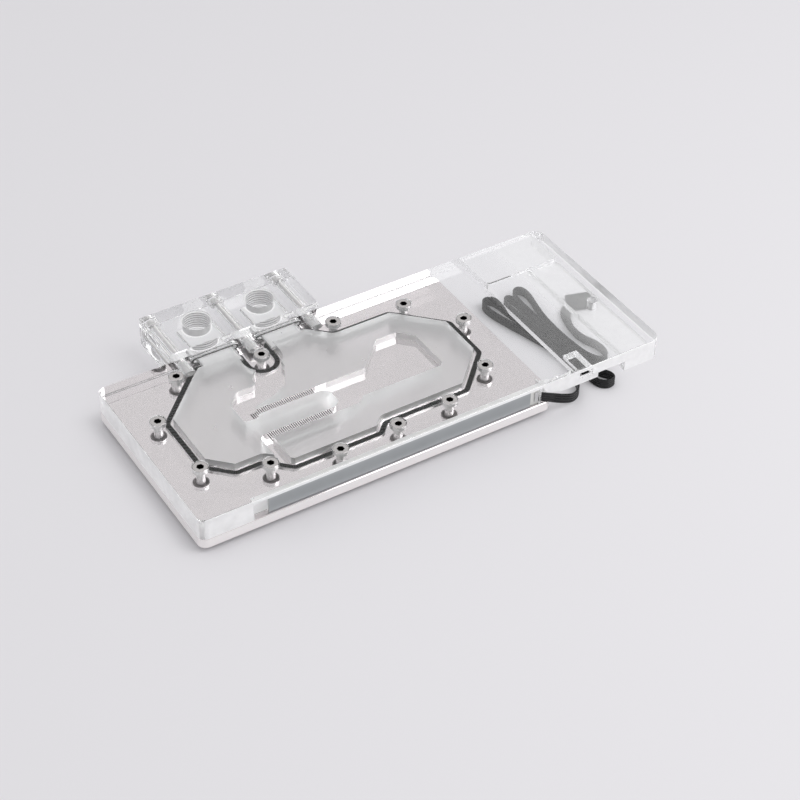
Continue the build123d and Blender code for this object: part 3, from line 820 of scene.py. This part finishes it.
class WATERBLOCK_OT_screws(bpy.types.Operator):
    """Dress the cap screws and the inserts"""

    bl_idname = "waterblock.screws"
    bl_label = "Screws"

    def execute(self, context):
        settings = context.scene.waterblock_finish
        # The screws' sockets get painted shade from the attribute that the screw mesh carries.
        steel = metal_finish("screw steel", settings.steel, 0.16, "painted_socket_shade")
        upright = Matrix.Identity(3)
        lying = Matrix.Rotation(math.radians(-90), 3, "X")
        make_screws("cover_cap_screws", "cover_screws", upright, steel)
        make_screws("terminal_cap_screws", "terminal_screws", lying, steel)
        dress("terminal_inserts", metal_finish("insert nickel", settings.steel, 0.25))
        dress("connector_contacts", metal_finish("contact brass", settings.brass, 0.2))
        return {"FINISHED"}


def stadium_ring(node, width, press, steps=20, around=16):
    """Give a squeezed cord ring as verts and faces, pressed a little into what it seals."""
    low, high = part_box(node)
    low.y -= press
    high.y += press / 4
    depth = high.y - low.y
    middle = (low + high) / 2
    bend = (high.z - low.z) / 2 - width / 2
    run = (high.x - low.x) / 2 - width / 2 - bend
    path = []
    for side in (1, -1):
        for step in range(steps + 1):
            angle = math.pi * (step / steps - 0.5)
            outward = Vector((math.cos(angle), 0, math.sin(angle))) * side
            path.append((middle + Vector((side * run, 0, 0)) + outward * bend, outward))
    verts = []
    for place, outward in path:
        for step in range(around):
            angle = 2 * math.pi * step / around
            sink = Vector((0, math.sin(angle) * depth / 2, 0))
            verts.append(place + outward * (math.cos(angle) * width / 2) + sink)
    faces = []
    for ring in range(len(path)):
        after = (ring + 1) % len(path)
        for step in range(around):
            beside = (step + 1) % around
            faces.append((
                ring * around + step, ring * around + beside,
                after * around + beside, after * around + step,
            ))
    return verts, faces


def make_port_seals(rubber):
    """Replace the ports' seals with cords that press on the acrylic, as rubber does."""
    sizes = bpy.context.scene.waterblock_seals
    verts = []
    faces = []
    for node in ("inlet_seal", "outlet_seal"):
        ring_verts, ring_faces = stadium_ring(node, sizes.cord, sizes.press)
        faces += [tuple(index + len(verts) for index in face) for face in ring_faces]
        verts += ring_verts
    mesh = bpy.data.meshes.new("port_seal_cords")
    mesh.from_pydata([tuple(vert) for vert in verts], [], faces)
    mesh.shade_smooth()
    cords = place_piece("port_seal_cords", mesh, rubber)
    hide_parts("inlet_seal", "outlet_seal")


class WATERBLOCK_OT_seals(bpy.types.Operator):
    """Dress the rubber seals"""

    bl_idname = "waterblock.seals"
    bl_label = "Seals"

    def execute(self, context):
        settings = context.scene.waterblock_finish
        rubber = plastic_finish("seal rubber", settings.rubber, 0.35)
        dress("perimeter_seal", rubber)
        make_port_seals(rubber)
        return {"FINISHED"}


class WATERBLOCK_OT_strip(bpy.types.Operator):
    """Dress the light strip"""

    bl_idname = "waterblock.strip"
    bl_label = "Light strip"

    def execute(self, context):
        settings = context.scene.waterblock_finish
        dress("light_tape", tape_finish(settings))
        dress("light_board", plastic_finish("strip board", settings.board, 0.4))
        dress("light_chips", plastic_finish("chip housing", settings.chip, 0.25))
        dress("light_resistors", plastic_finish("resistor film", settings.resistor, 0.3))
        dress("solder_joints", metal_finish("solder", settings.solder, 0.35))
        dress("strip_end_cap", clear_finish("end cap", settings, cap_haze))
        return {"FINISHED"}


# Cable

# The routes' points are in millimetres from the plate's right front corner, and up from the floor.
# The hank's turns all stand on edge on the floor, so they are given in plan.
LEAD_ROUTE = [
    (-6.0, 1.65, 10.95),
    (-2.0, -0.35, 10.2),
    (5.0, -1.1, 6.8),
    (12.4, -0.4, 3.6),
    (18.4, 4.0, 2.5),
    (21.6, 11.2, 2.5),
    (22.4, 19.0, 2.5),
]
HANK_ROUTE = [
    (21.1, 30.5),
    (17.4, 44.5),
    (13.4, 57.5),
    (10.9, 67.5),
    (10.7, 73.6),
    (12.9, 76.9),
    (15.9, 76.2),
    (17.6, 72.0),
    (18.2, 64.5),
    (20.2, 52.5),
    (23.2, 38.5),
    (23.5, 29.0),
    (23.3, 23.4),
    (23.7, 20.7),
    (24.6, 19.2),
    (26.2, 19.2),
    (27.1, 20.8),
    (27.0, 24.4),
    (26.4, 30.5),
    (25.6, 38.5),
    (25.0, 50.5),
    (23.3, 62.5),
    (22.8, 70.0),
    (23.6, 74.3),
    (25.9, 75.9),
    (28.0, 73.8),
    (28.1, 68.5),
    (27.6, 58.5),
    (27.4, 44.5),
    (28.4, 30.5),
    (28.7, 18.5),
    (28.2, 9.5),
    (29.1, 3.0),
    (32.6, 0.3),
    (36.8, 1.0),
    (37.6, 5.0),
    (34.1, 9.5),
    (31.1, 16.5),
    (30.5, 28.5),
    (29.6, 42.5),
    (29.5, 56.5),
    (29.5, 67.0),
    (29.8, 74.0),
    (31.4, 78.2),
    (34.6, 79.0),
    (36.6, 76.0),
    (36.4, 70.5),
    (34.6, 63.0),
    (32.6, 52.5),
    (32.2, 38.5),
    (32.7, 29.5),
    (33.6, 21.0),
    (36.1, 14.5),
    (40.6, 13.0),
    (43.3, 17.5),
    (42.8, 25.0),
    (39.6, 31.5),
    (39.4, 39.5),
]
TAIL_ROUTE = [(42.0, 48.0, 2.7), (45.6, 54.4, 2.0), (49.7, 57.05, 0.68)]


def cable_points():
    """Give the cable's route in metres: the lead, the hank's turns and the tail."""
    on_floor = LEAD_ROUTE[-1][2]
    route = LEAD_ROUTE + [(x, y, on_floor) for x, y in HANK_ROUTE] + TAIL_ROUTE
    return [plate_corner + Vector(point) * MM for point in route]


def smooth_line(points, name):
    """Give points along the open NURBS spline that follows a route."""
    curve = bpy.data.curves.new(name, "CURVE")
    curve.dimensions = "3D"
    spline = curve.splines.new("NURBS")
    spline.points.add(len(points) - 1)
    for point, place in zip(spline.points, points):
        point.co = (*place, 1)
    spline.order_u = 3
    spline.use_endpoint_u = True
    spline.resolution_u = 12
    holder = bpy.data.objects.new(name, curve)
    bpy.context.scene.collection.objects.link(holder)
    bpy.context.view_layer.update()
    mesh = bpy.data.meshes.new_from_object(holder)
    line = [vertex.co.copy() for vertex in mesh.vertices]
    bpy.data.objects.remove(holder)
    bpy.data.curves.remove(curve)
    bpy.data.meshes.remove(mesh)
    return line


def ribbon_section(wire, wires, steps=6):
    """Give the outline of wires fused side by side, as (across, up) pairs."""
    radius = wire / 2
    first = -(wires - 1) * radius
    right = []
    for number in range(wires):
        middle = first + number * wire
        spread = math.radians(80)
        for step in range(steps + 1):
            angle = -spread + 2 * spread * step / steps
            right.append((radius * math.cos(angle), middle + radius * math.sin(angle)))
    left = [(-across, -up) for across, up in right]
    return right + left


def sweep_ribbon(line, section, twist):
    """Give the section swept along the line, on edge and turned flat at its end, and its length."""
    places = np.cumsum([0] + [(b - a).length for a, b in zip(line, line[1:])])
    verts = []
    for number, point in enumerate(line):
        before = line[max(number - 1, 0)]
        after = line[min(number + 1, len(line) - 1)]
        along = (after - before).normalized()
        side = along.cross(Vector((0, 0, 1))).normalized()
        up = side.cross(along)
        share = max(1 - (places[-1] - places[number]) / twist, 0)
        turn = math.radians(90) * share * share * (3 - 2 * share)
        across_axis = side * math.cos(turn) - up * math.sin(turn)
        up_axis = side * math.sin(turn) + up * math.cos(turn)
        verts += [point + across_axis * across + up_axis * height for across, height in section]
    count = len(section)
    faces = [tuple(range(count))]
    for ring in range(len(line) - 1):
        start = ring * count
        for corner in range(count):
            after = (corner + 1) % count
            faces.append((
                start + corner, start + count + corner, start + count + after, start + after,
            ))
    faces.append(tuple(reversed(range((len(line) - 1) * count, len(line) * count))))
    mesh = bpy.data.meshes.new("ribbon_cable")
    mesh.from_pydata([tuple(v) for v in verts], [], faces)
    mesh.shade_smooth()
    return mesh, float(places[-1])


class WATERBLOCK_OT_cable(bpy.types.Operator):
    """Make the ribbon cable and dress its connector"""

    bl_idname = "waterblock.cable"
    bl_label = "Ribbon cable"

    def execute(self, context):
        settings = context.scene.waterblock_finish
        sizes = context.scene.waterblock_cable
        line = smooth_line(cable_points(), "cable_line")
        section = ribbon_section(sizes.wire, sizes.wires)
        mesh, length = sweep_ribbon(line, section, sizes.twist)
        black = plastic_finish("cable insulation", settings.cable, 0.16, Specular_IOR_Level=0.35)
        cable = place_piece("ribbon_cable", mesh, black)
        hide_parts("cable_lead", "cable_hank", "cable_tail")
        dress("cable_connector", plastic_finish("connector housing", settings.cable, 0.4))
        return {"FINISHED"}


# Stage


def make_floor(settings, reach=6.0):
    """Make a wide pale floor that keeps the object's shadow."""
    mesh = bpy.data.meshes.new("floor")
    corners = [(-reach, -reach), (reach, -reach), (reach, reach), (-reach, reach)]
    mesh.from_pydata([(x, y, floor_level) for x, y in corners], [], [(0, 1, 2, 3)])
    finish = Finish("floor")
    mesh.materials.append(finish.output(finish.principled(settings.floor, Roughness=0.9)))
    floor = bpy.data.objects.new("floor", mesh)
    bpy.context.scene.collection.objects.link(floor)


def make_world(settings):
    """Make the soft light from all round, brighter overhead."""
    world = bpy.data.worlds.new("studio")
    world.use_nodes = True
    tree = world.node_tree
    tree.nodes.clear()
    where = tree.nodes.new("ShaderNodeTexCoord")
    split = tree.nodes.new("ShaderNodeSeparateXYZ")
    ramp = tree.nodes.new("ShaderNodeValToRGB")
    low, high = ramp.color_ramp.elements
    low.position = 0.0
    low.color = (*settings.horizon, 1)
    high.position = 0.75
    high.color = (1, 1, 1, 1)
    background = tree.nodes.new("ShaderNodeBackground")
    background.inputs["Strength"].default_value = settings.sky
    out = tree.nodes.new("ShaderNodeOutputWorld")
    tree.links.new(where.outputs["Generated"], split.inputs[0])
    tree.links.new(split.outputs["Z"], ramp.inputs["Fac"])
    tree.links.new(ramp.outputs["Color"], background.inputs["Color"])
    tree.links.new(background.outputs[0], out.inputs["Surface"])
    bpy.context.scene.world = world


def make_lamp(settings):
    """Make a large soft box at the front right, which the cover's rear faces mirror."""
    light = bpy.data.lights.new("soft_box", "AREA")
    light.shape = "SQUARE"
    light.size = settings.lamp_size
    light.energy = settings.lamp
    lamp = bpy.data.objects.new("soft_box", light)
    bpy.context.scene.collection.objects.link(lamp)
    level = math.cos(settings.lamp_height)
    away = Vector((
        level * math.sin(settings.lamp_heading),
        -level * math.cos(settings.lamp_heading),
        math.sin(settings.lamp_height),
    ))
    lamp.location = away * settings.lamp_distance
    lamp.rotation_euler = (-away).to_track_quat("-Z", "Y").to_euler()


def make_camera(settings):
    """Make the camera at the photograph's viewpoint."""
    data = bpy.data.cameras.new("camera")
    data.lens = settings.lens
    data.sensor_width = 36
    data.clip_start = 0.01
    data.clip_end = 50
    camera = bpy.data.objects.new("camera", data)
    bpy.context.scene.collection.objects.link(camera)
    aim = Euler((math.pi / 2 - settings.tilt, 0, -settings.heading)).to_matrix()
    turned = aim @ Matrix.Rotation(settings.roll, 3, "Z")
    camera.matrix_world = Matrix.Translation(settings.place) @ turned.to_4x4()
    bpy.context.scene.camera = camera


class WATERBLOCK_OT_stage(bpy.types.Operator):
    """Make the floor, the light and the camera"""

    bl_idname = "waterblock.stage"
    bl_label = "Stage"

    def execute(self, context):
        scene = context.scene
        settings = scene.waterblock_stage
        make_floor(settings)
        make_world(settings)
        make_lamp(settings)
        make_camera(settings)
        scene.view_settings.view_transform = "Standard"
        scene.cycles.max_bounces = 24
        scene.cycles.transmission_bounces = 20
        scene.cycles.glossy_bounces = 8
        scene.cycles.transparent_max_bounces = 24
        scene.cycles.caustics_reflective = False
        scene.cycles.caustics_refractive = False
        # The prefilter would wipe out the microfins' fine pattern.
        scene.cycles.denoising_prefilter = "NONE"
        return {"FINISHED"}


class WATERBLOCK_PT_panel(bpy.types.Panel):
    """The pieces in the order in which they are made"""

    bl_idname = "WATERBLOCK_PT_panel"
    bl_label = "Water block"
    bl_space_type = "VIEW_3D"
    bl_region_type = "UI"
    bl_category = "Water block"

    def draw(self, context):
        for operator in OPERATORS:
            self.layout.operator(operator.bl_idname)


SETTINGS = {
    "waterblock_finish": FinishSettings,
    "waterblock_screws": ScrewSettings,
    "waterblock_seals": SealSettings,
    "waterblock_cable": CableSettings,
    "waterblock_stage": StageSettings,
}
OPERATORS = (
    WATERBLOCK_OT_plate,
    WATERBLOCK_OT_cover,
    WATERBLOCK_OT_screws,
    WATERBLOCK_OT_seals,
    WATERBLOCK_OT_strip,
    WATERBLOCK_OT_cable,
    WATERBLOCK_OT_stage,
)


def register():
    for name, group in SETTINGS.items():
        bpy.utils.register_class(group)
        setattr(bpy.types.Scene, name, PointerProperty(type=group))
    for item in (*OPERATORS, WATERBLOCK_PT_panel):
        bpy.utils.register_class(item)


def unregister():
    for item in reversed((*OPERATORS, WATERBLOCK_PT_panel)):
        bpy.utils.unregister_class(item)
    for name, group in SETTINGS.items():
        delattr(bpy.types.Scene, name)
        bpy.utils.unregister_class(group)


def main():
    register()
    for operator in OPERATORS:
        module, name = operator.bl_idname.split(".")
        getattr(getattr(bpy.ops, module), name)()


if __name__ == "__main__":
    main()
